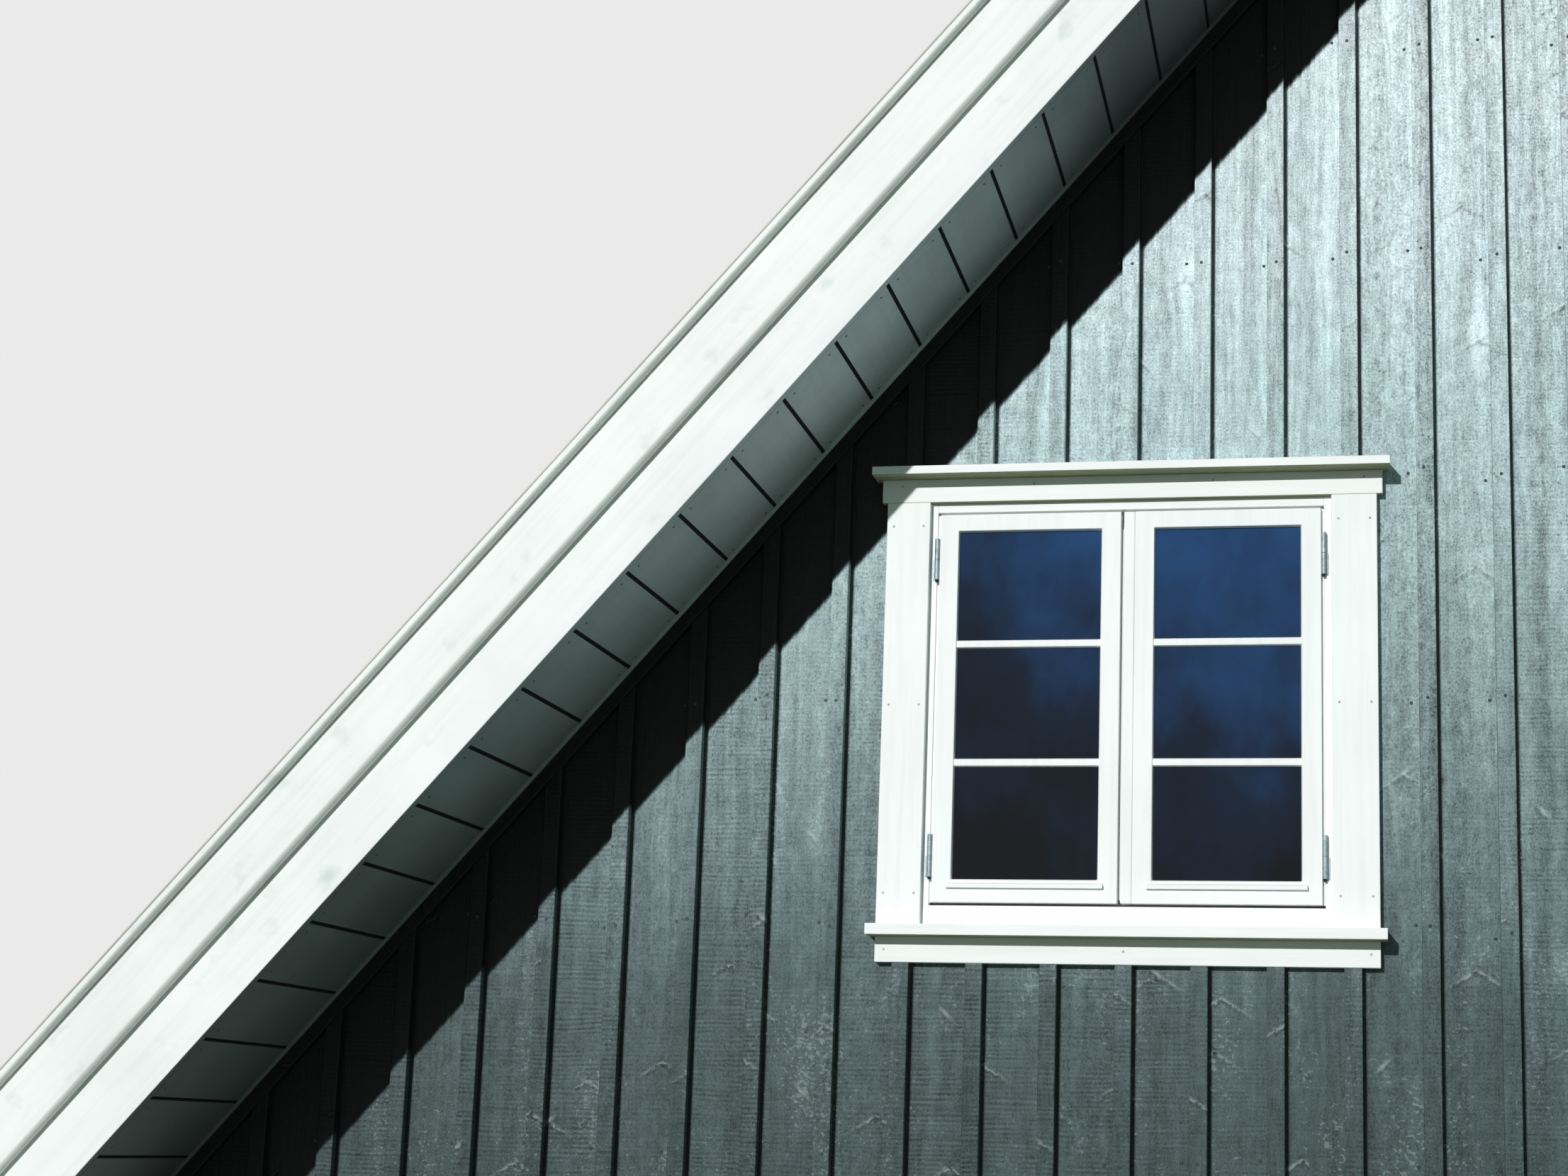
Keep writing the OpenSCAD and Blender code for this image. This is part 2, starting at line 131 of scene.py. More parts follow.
def timber_finish(name, along, colours, up_the_slope=False):
    """Bare timber with its grain along one axis."""
    finish, shader = new_finish(name, 0.72, 0.3)
    place = metres(finish, up_the_slope)
    rings = speckle(finish, place, grain(along, 4.0, 46.0), 4.0, 0.6)
    fibres = speckle(finish, place, grain(along, 30.0, 900.0), 2.0)
    colour = tint(finish, rings, list(zip((0.32, 0.5, 0.7), colours)))
    pores = tint(finish, fibres, [(0.3, grey(0.6)), (0.65, grey(1.0))])
    set_colour(finish, shader, blend(finish, 0.5, colour, pores, "MULTIPLY"))
    relief(finish, shader, sum_of(finish, "ADD", rings, fibres), 0.0006)
    return finish


def give(piece, *finishes):
    """Puts finishes on a piece. Old ones are cleared only where there are any, because clearing
    them also forgets which face takes which."""
    if len(piece.data.materials):
        piece.data.materials.clear()
    for finish in finishes:
        piece.data.materials.append(finish)
    return piece


studwork = timber_finish("bare_studwork", "x", BARE_WOOD)
for panel in ("wall_foot", "wall_left", "wall_middle", "wall_right", "wall_top"):
    give(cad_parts[panel], studwork)

# A verge ladder carries each roof edge past the wall: a fly rafter with rungs nailed back to the
# studs, sawn and left bare. The roof boards lie on it and on the wall, up both slopes.
rafter_wood = timber_finish("sawn_rafters", "z", BARE_WOOD, True)
give(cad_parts["verge_ladders"], rafter_wood)
for deck in ("left_roof_deck", "right_roof_deck"):
    give(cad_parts[deck], rafter_wood)

# The soffit is boarded square to the rake with open grooves between the boards, painted grey and
# nailed up to the fly rafter in front and to the wall behind, two nails to a board at each.
SOFFIT_GREY = (0.740, 0.832, 0.840)
# Painted shade on the soffit's grey: how bright it is at shares of the height, and darker towards the wall.
SOFFIT_SHADE_BY_HEIGHT = ((0.0, 0.22), (0.21, 0.36), (0.42, 0.85), (0.56, 1.0), (0.72, 0.21), (0.85, 0.13))
SHADE_HEIGHT = 4.0
WALL_SHADE_FROM = -0.300
WALL_SHADE_PER_METRE = 2.3
GROOVE_SHADE = (0.012, 0.015, 0.014)
GROOVE_HALF = 0.003
GROOVE_MOUTH = 0.0022
HALF_SPAN = 3.430
UP_LEFT_SLOPE = Vector((math.cos(SLOPE), 0.0, math.sin(SLOPE)))
OFF_LEFT_SLOPE = Vector((-math.sin(SLOPE), 0.0, math.cos(SLOPE)))
LEFT_FOOT = Vector((-HALF_SPAN, 0.0, 0.0))
RIDGE = HALF_SPAN / math.cos(SLOPE)
TOP_JOINT = RIDGE - 0.160
SOFFIT_BOARD = 0.184
SOFFIT_JOINTS = [TOP_JOINT - SOFFIT_BOARD * count for count in range(28)]
SOFFIT_NAIL_INSET = 0.030
SOFFIT_NAIL_ROWS = (-0.292, 0.108)
SOFFIT_NAIL_R = 0.0036
SOFFIT_NAIL_PROUD = 0.0007
LOWEST_NAIL = 0.020


def paint_finish(
    name, colour, along="z", roughness=0.5, up_the_slope=False, soil=0.10, painted_shade=(), algae=0.0,
):
    """Brushed paint: fine brush marks and the grain under them along a board, with faint soiling.
    Painted shade gives how bright it is at shares of its height, with more painted shade towards the wall,
    and algae the strength of green blots."""
    finish, shader = new_finish(name, roughness, 0.25)
    place = metres(finish, up_the_slope)
    brush = speckle(finish, place, grain(along, 6.0, 170.0), 1.0)
    wood = speckle(finish, place, grain(along, 3.0, 60.0), 2.0, 0.55)
    cloud = speckle(finish, place, (3.0, 3.0, 3.0), 4.0, 0.6)
    darker = tuple(value * (1.0 - soil) for value in colour)
    mottled = tint(finish, cloud, [(0.35, darker), (0.62, colour)])
    streak = tint(finish, wood, [(0.30, (0.93, 0.93, 0.925)), (0.55, grey(1.0))])
    coat = blend(finish, 0.7, mottled, streak, "MULTIPLY")
    if painted_shade:
        spot = new_node(finish, "ShaderNodeSeparateXYZ", {0: metres(finish)}).outputs
        how_high = sum_of(finish, "DIVIDE", spot[2], SHADE_HEIGHT)
        shade_by_height = tint(finish, how_high, [(at, grey(share)) for at, share in painted_shade])
        towards_wall = sum_of(finish, "MULTIPLY_ADD", spot[1], WALL_SHADE_PER_METRE, -WALL_SHADE_PER_METRE * WALL_SHADE_FROM)
        wall_shade = tint(finish, towards_wall, [(0.25, grey(1.0)), (1.0, (0.62, 0.62, 0.61))])
        coat = blend(finish, 1.0, coat, shade_by_height, "MULTIPLY")
        coat = blend(finish, 1.0, coat, wall_shade, "MULTIPLY")
    if algae:
        blots = speckle(finish, place, (11.0, 11.0, 8.0), 3.0, 0.5, (3.1, 0.0, 7.7))
        green = tint(finish, blots, [(0.62, grey(1.0)), (0.78, (0.50, 0.62, 0.60))])
        coat = blend(finish, algae, coat, green, "MULTIPLY")
    set_colour(finish, shader, coat)
    height = sum_of(finish, "MULTIPLY_ADD", wood, 1.0, sum_of(finish, "MULTIPLY", brush, 0.25))
    relief(finish, shader, height, 0.00015)
    return finish


def solids_of(node):
    """A copy of a node's solids with their faces joined up, ready for a plane or a spokeshave."""
    shape = bmesh.new()
    shape.from_mesh(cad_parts[node].data)
    bmesh.ops.remove_doubles(shape, verts=shape.verts, dist=0.00002)
    bmesh.ops.dissolve_limit(shape, angle_limit=math.radians(0.3), verts=shape.verts, edges=shape.edges)
    return shape


def ease(shape, width, edges=None, segments=2, clamp=True):
    """Rounds the arrises of a piece, as sandpaper and paint leave them."""
    sharp = [
        edge for edge in (edges or shape.edges)
        if len(edge.link_faces) == 2 and edge.calc_face_angle() > math.radians(20.0)
    ]
    bmesh.ops.bevel(
        shape, geom=sharp, offset=width, segments=segments, profile=0.5,
        affect="EDGES", material=-1, clamp_overlap=clamp, loop_slide=True,
    )


def make_piece(name, shape, finishes, replaces=()):
    """Puts a finished shape in the scene, on the one fixed body."""
    bmesh.ops.recalc_face_normals(shape, faces=shape.faces)
    mesh = bpy.data.meshes.new(name)
    shape.to_mesh(mesh)
    shape.free()
    piece = bpy.data.objects.new(name, mesh)
    bpy.context.scene.collection.objects.link(piece)
    give(piece, *finishes)
    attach(piece, "root")
    if replaces:
        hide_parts(*replaces)
    return piece


def eased_piece(node, name, width, slot, *finishes):
    shape = solids_of(node)
    ease(shape, width)
    return make_piece(name, shape, finishes, [node])


def nail_heads(name, places, facing, radius, proud, finish):
    """Domed nail heads at a list of places, all of them facing one way."""
    shape = bmesh.new()
    turn = Vector((0.0, 0.0, 1.0)).rotation_difference(Vector(facing)).to_matrix().to_4x4()
    for place in places:
        head = Matrix.Translation(place) @ turn @ Matrix.Translation((0.0, 0.0, proud / 2))
        bmesh.ops.create_cone(
            shape, cap_ends=True, segments=10, radius1=radius, radius2=radius * 0.72,
            depth=proud, matrix=head,
        )
    return make_piece(name, shape, [finish])


def up_the_rake(point):
    """How far a point lies up the rake from the foot of its own side."""
    return (Vector((-abs(point.x), 0.0, point.z)) - LEFT_FOOT).dot(UP_LEFT_SLOPE)


def off_the_rake(point):
    """How far a point stands off the soffit's face, along the square to the rake."""
    return (Vector((-abs(point.x), 0.0, point.z)) - LEFT_FOOT).dot(OFF_LEFT_SLOPE)


def from_joint(point):
    return min(abs(up_the_rake(point) - joint) for joint in SOFFIT_JOINTS)


def at_a_mouth(edge):
    """True for an edge that runs along a groove, on the face seen from below."""
    runs_along = abs(edge.verts[0].co.y - edge.verts[1].co.y) > 0.1
    in_groove = all(from_joint(vert.co) < GROOVE_HALF + 0.0003 for vert in edge.verts)
    on_face = all(abs(off_the_rake(vert.co)) < 0.0005 for vert in edge.verts)
    return runs_along and in_groove and on_face


grey_paint = paint_finish("grey_soffit_paint", SOFFIT_GREY, "y", 0.55, True, soil=0.18, painted_shade=SOFFIT_SHADE_BY_HEIGHT)
# The grooves' inner faces are painted near black, as shade.
groove_shade_paint = paint_finish("painted_shade_in_grooves", GROOVE_SHADE, "y", 0.8, True, soil=0.3)
soffit_finishes = [grey_paint, groove_shade_paint]
for side in ("left", "right"):
    shape = solids_of(side + "_soffit")
    mouths = [edge for edge in shape.edges if at_a_mouth(edge)]
    ease(shape, GROOVE_MOUTH, mouths, 1, False)
    for face in shape.faces:
        in_groove = from_joint(face.calc_center_median()) < GROOVE_HALF + GROOVE_MOUTH
        face.material_index = 1 if in_groove else 0
    make_piece(side + "_soffit_boards", shape, soffit_finishes, [side + "_soffit"])
nail_paint = paint_finish("soffit_nail_paint", (0.10, 0.115, 0.11), "y", 0.6, True, soil=0.3)
for side, mirror in (("left", 1.0), ("right", -1.0)):
    heads = []
    for joint in SOFFIT_JOINTS:
        for step in (SOFFIT_NAIL_INSET, SOFFIT_BOARD - SOFFIT_NAIL_INSET):
            point = LEFT_FOOT + UP_LEFT_SLOPE * (joint - step)
            if point.z > LOWEST_NAIL:
                heads += [Vector((point.x * mirror, y, point.z)) for y in SOFFIT_NAIL_ROWS]
    down = Vector((-OFF_LEFT_SLOPE.x * mirror, 0.0, -OFF_LEFT_SLOPE.z))
    nail_heads(side + "_soffit_nails", heads, down, SOFFIT_NAIL_R, SOFFIT_NAIL_PROUD, nail_paint)

# A slim quarter-round bead closes the corner between the soffit and the batten along the wall. It
# is pinned to the batten in one length up each slope, and painted with the soffit.
BEAD = 0.008
BEAD_SECTION = ((0.0, 0.0), (1.0, 0.0), (0.92, 0.5), (0.5, 0.92), (0.0, 1.0))
BEAD_FOOT = 0.012
BEAD_LENGTH = RIDGE - 0.030


def draw_out(shape, section, along):
    """A straight length of one section, drawn out along a line from its first end."""
    end = shape.faces.new([shape.verts.new(point) for point in section])
    run = bmesh.ops.extrude_face_region(shape, geom=[end])
    far = [part for part in run["geom"] if isinstance(part, bmesh.types.BMVert)]
    bmesh.ops.translate(shape, verts=far, vec=along)


batten_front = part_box("rake_battens")[0].y
for side, mirror in (("left", 1.0), ("right", -1.0)):
    bead = bmesh.new()
    section = []
    for outwards, down in BEAD_SECTION:
        point = LEFT_FOOT + UP_LEFT_SLOPE * BEAD_FOOT - OFF_LEFT_SLOPE * BEAD * down
        section.append((point.x * mirror, batten_front - BEAD * outwards, point.z))
    climb = UP_LEFT_SLOPE * BEAD_LENGTH
    draw_out(bead, section, (climb.x * mirror, 0.0, climb.z))
    make_piece(side + "_soffit_bead", bead, [grey_paint])

# Two bargeboards lap over each other on the fly rafter, and a cap board lies on their top edge and stands
# out over them. All are planed softwood with eased arrises, painted white, and the lowest underside is
# painted with the soffit's grey as shade on the white board.
BARGE_WHITE = (0.900, 0.912, 0.900)
ARRIS = 0.0020
BARGE_CURVE = 0.012
CAP_CURVE = 0.010
CURVE_BACK = 0.009
white_rake_paint = paint_finish("white_rake_paint", BARGE_WHITE, "z", 0.55, True, soil=0.07, algae=0.5)


def rake_board(node, name, tall, back, grey_shaded_underside=False):
    """Planes a board. Where it laps over the next one, its face curves back towards the underside,
    by the depth back within the height tall."""
    shape = solids_of(node)
    front = min(vert.co.y for vert in shape.verts)
    low = min(off_the_rake(vert.co) for vert in shape.verts)
    mirror = 1.0 if min(vert.co.x for vert in shape.verts) < -1.0 else -1.0
    cuts = (1.0, 0.75, 0.5, 0.25) if back else ()
    for share in cuts:
        at = LEFT_FOOT + OFF_LEFT_SLOPE * (low + tall * share)
        bmesh.ops.bisect_plane(
            shape, geom=shape.verts[:] + shape.edges[:] + shape.faces[:],
            plane_co=(at.x * mirror, 0.0, at.z),
            plane_no=(OFF_LEFT_SLOPE.x * mirror, 0.0, OFF_LEFT_SLOPE.z),
        )
    for vert in shape.verts:
        rise = (off_the_rake(vert.co) - low) / tall
        if abs(vert.co.y - front) < 0.0005 and rise < 1.0:
            vert.co.y += back * (1.0 - rise) ** 2
    ease(shape, ARRIS)
    shape.normal_update()
    # Painted shade: the lowest board's underside takes the soffit's grey.
    for face in shape.faces:
        falls = face.normal.z < -0.35 and abs(face.normal.x) > 0.35
        face.material_index = 1 if grey_shaded_underside and falls else 0
    return make_piece(name, shape, [white_rake_paint, grey_paint], [node])


for side in ("left", "right"):
    rake_board(side + "_lower_bargeboard", side + "_lower_barge", BARGE_CURVE, 0.0, grey_shaded_underside=True)
    rake_board(side + "_upper_bargeboard", side + "_upper_barge", BARGE_CURVE, CURVE_BACK)
    rake_board(side + "_verge_cap", side + "_cap_board", CAP_CURVE, CURVE_BACK)

# Mineral felt covers the roof boards and turns up over the cap board. It is laid in courses from
# the eaves up, each lapping the one below it, and its cut edge is pale along the verge.
FELT = ((0.055, 0.045, 0.038), (0.105, 0.086, 0.072), (0.19, 0.165, 0.145))
CUT_EDGE = (0.66, 0.62, 0.54)
VERGE_FRONT = -0.380
COURSE = 0.90
COURSES = 6
LAP_T = 0.0025
LAP_FRONT = -0.2855
LAP_DEPTH = 0.6505
LAP_SHARE = 0.98
LAP_SET_IN = 0.0005
FELT_LEVEL = 0.2830
SHORT_OF_RIDGE = 0.020


def felt_finish(name):
    finish, shader = new_finish(name, 0.88, 0.25)
    place = metres(finish)
    grit = speckle(finish, place, (900.0, 900.0, 900.0), 2.0, 0.7)
    cloud = speckle(finish, place, (4.0, 4.0, 4.0), 5.0, 0.6)
    granules = tint(finish, grit, list(zip((0.38, 0.5, 0.66), FELT)))
    weather = tint(finish, cloud, [(0.35, (0.72, 0.72, 0.70)), (0.65, grey(1.0))])
    set_colour(finish, shader, blend(finish, 0.8, granules, weather, "MULTIPLY"))
    relief(finish, shader, sum_of(finish, "ADD", grit, cloud), 0.0008)
    return finish


felt = felt_finish("brown_mineral_felt")
cut_edge = paint_finish("pale_felt_edge", CUT_EDGE, "z", 0.8, True, soil=0.25)
covering = solids_of("roof_felt")
ease(covering, 0.0010)
covering.normal_update()
for face in covering.faces:
    at_verge = face.normal.y < -0.8 and face.calc_center_median().y < VERGE_FRONT
    face.material_index = 1 if at_verge else 0
make_piece("felt_covering", covering, [felt, cut_edge], ["roof_felt"])
laps = bmesh.new()
eaves = -(FELT_LEVEL + LAP_SET_IN) / math.tan(SLOPE)
felt_ridge = RIDGE + FELT_LEVEL * math.tan(SLOPE) - SHORT_OF_RIDGE
for mirror in (1.0, -1.0):
    for count in range(1, COURSES):
        low = eaves + COURSE * count
        high = min(low + COURSE * LAP_SHARE, felt_ridge)
        section = []
        for up, off in ((low, 0.0), (high, 0.0), (low, LAP_T)):
            point = LEFT_FOOT + UP_LEFT_SLOPE * up + OFF_LEFT_SLOPE * (FELT_LEVEL + off)
            section.append((point.x * mirror, LAP_FRONT, point.z))
        draw_out(laps, section, (0.0, LAP_DEPTH, 0.0))
make_piece("felt_laps", laps, [felt])

# The wall is clad with sawn boards set apart a little, and a narrower batten is nailed over each joint. Both
# are stained near black, and their colour grows paler the higher they stand. Close under the soffit a
# painted shadow of the verge keeps them near black, and a painted shadow darkens each board beside a
# batten's right side.
BOARD_PITCH = 0.181
STAIN_BY_HEIGHT = (
    (0.05, (0.050, 0.074, 0.074)), (0.15, (0.070, 0.101, 0.102)), (0.285, (0.172, 0.233, 0.240)),
    (0.42, (0.310, 0.407, 0.420)), (0.555, (0.455, 0.568, 0.590)), (0.64, (0.555, 0.655, 0.688)),
    (0.76, (0.605, 0.695, 0.725)),
)
PAINTED_SHADE_DARK = (0.0058, 0.0076, 0.0072, 1.0)
PAINTED_SHADOW_EDGE = (0.250, 0.264)
SHADOW_EDGE_RAGGED = (0.02, 0.30)
RIGHT_SHADE_REACH = 0.13
PALE_WEAR = (0.78, 0.86, 0.87, 1.0)
BATTEN_SHADOW_BAND = (0.0335, 0.0295)
KNOT_SPACING = (0.18, 0.0, 0.53)
SAW_PITCH = 0.0117
CLADDING_TOP = 4.0
BATTEN_ARRIS = 0.0022
BATTEN_SHADOW_SHIFT = 0.013


def outside_painted_shadow(finish, streaks, proud):
    """Painted shadow of the verge: nothing close under the soffit and one beyond the shadow's edge, on both
    slopes alike. The edge lies a little higher on what stands proud of the boards, as a cast shadow's does,
    and is ragged and streaky on the right, where it fades over a wider band."""
    xyz = new_node(finish, "ShaderNodeSeparateXYZ", {0: metres(finish)}).outputs
    from_middle = sum_of(finish, "MULTIPLY", sum_of(finish, "ABSOLUTE", xyz[0]), math.sin(SLOPE))
    from_ground = sum_of(finish, "MULTIPLY_ADD", xyz[2], math.cos(SLOPE), from_middle)
    under = sum_of(finish, "SUBTRACT", HALF_SPAN * math.sin(SLOPE), from_ground)
    weather = sum_of(finish, "GREATER_THAN", xyz[0], 0.0)
    raggedness = sum_of(finish, "MULTIPLY_ADD", weather, SHADOW_EDGE_RAGGED[1], SHADOW_EDGE_RAGGED[0])
    ragged = sum_of(finish, "MULTIPLY_ADD", sum_of(finish, "SUBTRACT", streaks, 0.5), raggedness, under)
    start = sum_of(finish, "MULTIPLY_ADD", weather, -RIGHT_SHADE_REACH, PAINTED_SHADOW_EDGE[0] - proud)
    sockets = {"Value": ragged, "From Min": start, "From Max": PAINTED_SHADOW_EDGE[1] - proud}
    return new_node(finish, "ShaderNodeMapRange", sockets, interpolation_type="SMOOTHSTEP").outputs[0]


def stain_finish(name, shift, dark, proud, up_the_slope=False):
    """Stained sawn timber. Each board has a grain of its own that swells round its knots, where it has torn
    up in two pale wings under the saw, besides the saw's cross marks, pores and chips. A painted shadow lies
    under each wing and chip."""
    finish, shader = new_finish(name, 0.5, 0.14)
    place = metres(finish, up_the_slope)
    xyz = new_node(finish, "ShaderNodeSeparateXYZ", {0: place}).outputs
    height = new_node(finish, "ShaderNodeSeparateXYZ", {0: metres(finish)}).outputs[2]
    board = sum_of(finish, "FLOOR", sum_of(finish, "MULTIPLY_ADD", xyz[0], 1.0 / BOARD_PITCH, shift))
    chance = new_node(finish, "ShaderNodeTexWhiteNoise", {"W": board}, noise_dimensions="1D").outputs
    luck = new_node(finish, "ShaderNodeSeparateColor", {0: chance["Color"]}).outputs
    away = new_node(finish, "ShaderNodeVectorMath", {0: chance["Color"], "Scale": 9.0}, operation="SCALE")
    moved = new_node(finish, "ShaderNodeVectorMath", {0: place, 1: away.outputs[0]}, operation="ADD")
    own = moved.outputs[0]
    own_xyz = new_node(finish, "ShaderNodeSeparateXYZ", {0: own}).outputs

    def times(first, second):
        return sum_of(finish, "MULTIPLY", first, second)

    def plus(first, second):
        return sum_of(finish, "ADD", first, second)

    def minus(first, second):
        return sum_of(finish, "SUBTRACT", first, second)

    def share_of(value, share, rest):
        return sum_of(finish, "MULTIPLY_ADD", value, share, rest)

    def centred(pattern, weight):
        return times(minus(pattern, 0.5), weight)

    def hump(value, width):
        """One where the value is nothing, falling away within the width."""
        part = sum_of(finish, "DIVIDE", value, width)
        return sum_of(finish, "EXPONENT", times(times(part, part), -1.0))

    def ramp(value, low, high, least=0.0, most=1.0):
        sockets = {"Value": value, "From Min": low, "From Max": high, "To Min": least, "To Max": most}
        return new_node(finish, "ShaderNodeMapRange", sockets).outputs[0]

    cells = new_node(finish, "ShaderNodeMapping", {"Vector": own, "Scale": (5.5, 0.0, 1.9)}).outputs[0]
    knots = new_node(finish, "ShaderNodeTexVoronoi", {"Vector": cells, "Scale": 1.0}).outputs
    gap = new_node(finish, "ShaderNodeVectorMath", {0: cells, 1: knots["Position"]}, operation="SUBTRACT")
    cell = {0: gap.outputs[0], 1: KNOT_SPACING}
    off = new_node(finish, "ShaderNodeVectorMath", cell, operation="MULTIPLY")
    off_xyz = new_node(finish, "ShaderNodeSeparateXYZ", {0: off.outputs[0]}).outputs
    kind_of_knot = new_node(finish, "ShaderNodeSeparateColor", {0: knots["Color"]}).outputs

    flow = times(hump(off_xyz[0], 0.034), hump(off_xyz[2], 0.080))
    core = times(hump(off_xyz[0], 0.008), hump(off_xyz[2], 0.011))
    chipped = sum_of(finish, "GREATER_THAN", kind_of_knot[1], 0.74)
    wander = speckle(finish, own, (3.0, 0.0, 1.6), 2.0)
    pushed = times(times(off_xyz[0], flow), -0.85)
    drift = share_of(wander, 0.050, pushed)
    across = plus(own_xyz[0], drift)
    grained = new_node(finish, "ShaderNodeCombineXYZ", {0: across, 1: own_xyz[1], 2: own_xyz[2]}).outputs[0]

    torn = speckle(finish, own, (70.0, 70.0, 70.0), 2.0)
    sweep = share_of(sum_of(finish, "ABSOLUTE", off_xyz[0]), 0.62, off_xyz[2])
    sweep = plus(sweep, centred(torn, 0.026))
    span = times(hump(off_xyz[0], 0.052), sum_of(finish, "GREATER_THAN", kind_of_knot[0], 0.42))
    wings = times(times(hump(sweep, 0.0040), span), ramp(torn, 0.36, 0.54))
    under_wings = times(hump(plus(sweep, 0.009), 0.0055), span)
    chip_side = sum_of(finish, "SIGN", minus(kind_of_knot[2], 0.4))
    sideways = times(off_xyz[0], chip_side)
    along_chip = plus(times(sideways, 0.72), times(off_xyz[2], 0.69))
    over_chip = plus(plus(times(sideways, -0.69), times(off_xyz[2], 0.72)), centred(torn, 0.012))
    chip = times(times(hump(along_chip, 0.018), hump(over_chip, 0.0050)), chipped)
    under_chip = times(times(hump(along_chip, 0.020), hump(plus(over_chip, 0.0075), 0.0035)), chipped)

    bands = speckle(finish, grained, (24.0, 24.0, 0.45), 2.0, 0.5)
    streaks = speckle(finish, grained, (100.0, 100.0, 3.0), 3.0, 0.6)
    fibres = speckle(finish, grained, (430.0, 430.0, 30.0), 3.0, 0.6)
    mottle = speckle(finish, own, (42.0, 42.0, 22.0), 4.0, 0.7)
    grit = speckle(finish, own, (240.0, 240.0, 200.0), 2.0, 0.7)
    patches = speckle(finish, own, (9.0, 9.0, 2.2), 3.0, 0.6)
    waver = speckle(finish, own, (2.5, 2.5, 7.0), 2.0)
    broken = ramp(speckle(finish, own, (11.0, 11.0, 30.0), 2.0), 0.36, 0.60)
    turns = share_of(own_xyz[2], 2.0 * math.pi / SAW_PITCH, times(waver, 16.0))
    strokes = times(sum_of(finish, "SINE", turns), broken)
    stray = speckle(finish, own, (2.0, 2.0, 100.0), 1.0)
    bite = share_of(luck[0], 1.1, 0.25)
    fleck = plus(speckle(finish, own, (95.0, 95.0, 130.0), 2.0, 0.6), centred(mottle, 0.26))
    flecks = ramp(share_of(flow, 0.10, plus(fleck, centred(patches, 0.62))), 0.67, 0.74)
    higher_up = ramp(height, 0.5, 2.4)

    lifted = plus(centred(patches, 0.7), height)
    # The stain is paler the higher it stands.
    stain_colour = tint(finish, sum_of(finish, "DIVIDE", lifted, CLADDING_TOP), STAIN_BY_HEIGHT)
    # Painted shadow of the verge: near black close under the soffit.
    out_of_painted_shadow = outside_painted_shadow(finish, streaks, proud)
    stain_colour = blend(finish, out_of_painted_shadow, PAINTED_SHADE_DARK, stain_colour)
    tone = share_of(luck[1], 0.16, dark)
    upright = share_of(higher_up, 0.45, 0.55)
    drawn_marks = plus(centred(streaks, 1.0), centred(fibres, 0.75))
    tone = plus(tone, times(drawn_marks, upright))
    for pattern, weight in ((bands, 1.0), (mottle, 1.2), (grit, 1.9)):
        tone = plus(tone, centred(pattern, weight))
    level_marks = plus(times(strokes, 0.25), centred(stray, 0.60))
    tone = plus(tone, times(times(level_marks, bite), ramp(height, 0.6, 2.2, 1.0, 0.30)))
    # Painted shadow: a dark line under each pale wing and chip.
    tone = share_of(plus(under_wings, under_chip), -0.36, tone)
    tone = share_of(times(core, minus(1.0, chipped)), -0.40, tone)
    tone = share_of(minus(flow, core), 0.10, tone)
    tone = sum_of(finish, "MAXIMUM", tone, 0.14)
    grey_tone = new_node(finish, "ShaderNodeCombineXYZ", {0: tone, 1: tone, 2: tone}).outputs[0]
    toned = blend(finish, 1.0, stain_colour, grey_tone, "MULTIPLY")
    pores = tint(finish, grit, [(0.28, grey(0.45)), (0.35, grey(1.0))])
    toned = blend(finish, 1.0, toned, pores, "MULTIPLY")
    # Painted shadow: a dark band on each board beside the right side of the batten over it, left off the
    # battens themselves.
    along_board = sum_of(finish, "FRACT", share_of(xyz[0], 1.0 / BOARD_PITCH, 0.5))
    beside = share_of(along_board, BOARD_PITCH, -BOARD_PITCH / 2)
    batten_shadow = times(ramp(beside, *BATTEN_SHADOW_BAND), sum_of(finish, "GREATER_THAN", beside, 0.0))
    batten_shadow = times(batten_shadow, 0.0 if proud else 1.0)
    toned = blend(finish, times(batten_shadow, 0.75), toned, PAINTED_SHADE_DARK)
    worn = sum_of(finish, "MAXIMUM", sum_of(finish, "MAXIMUM", wings, chip), times(flecks, 0.55))
    worn = times(times(worn, ramp(height, 0.5, 3.0, 0.24, 0.60)), out_of_painted_shadow)
    set_colour(finish, shader, blend(finish, worn, toned, PALE_WEAR))

    raised = plus(plus(wings, chip), times(under_wings, -0.5))
    relief_of = plus(times(streaks, 0.8), times(fibres, 0.4))
    relief_of = plus(relief_of, times(times(level_marks, bite), 0.45))
    relief_of = share_of(raised, 0.9, relief_of)
    relief_of = share_of(flow, 0.5, share_of(core, -0.5, relief_of))
    relief(finish, shader, relief_of, 0.0011)
    return finish


board_stain = stain_finish("dark_board_stain", 0.0, 0.95, 0.0)
batten_stain = stain_finish("dark_batten_stain", 100.5, 0.86, BATTEN_SHADOW_SHIFT)
rake_stain = stain_finish("dark_rake_stain", 200.5, 0.86, BATTEN_SHADOW_SHIFT, up_the_slope=True)
give(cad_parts["cladding_boards"], board_stain)
eased_piece("cover_battens", "cover_strips", BATTEN_ARRIS, "dark_stained_timber", batten_stain)
eased_piece("rake_battens", "rake_strips", BATTEN_ARRIS, "dark_stained_timber", rake_stain)

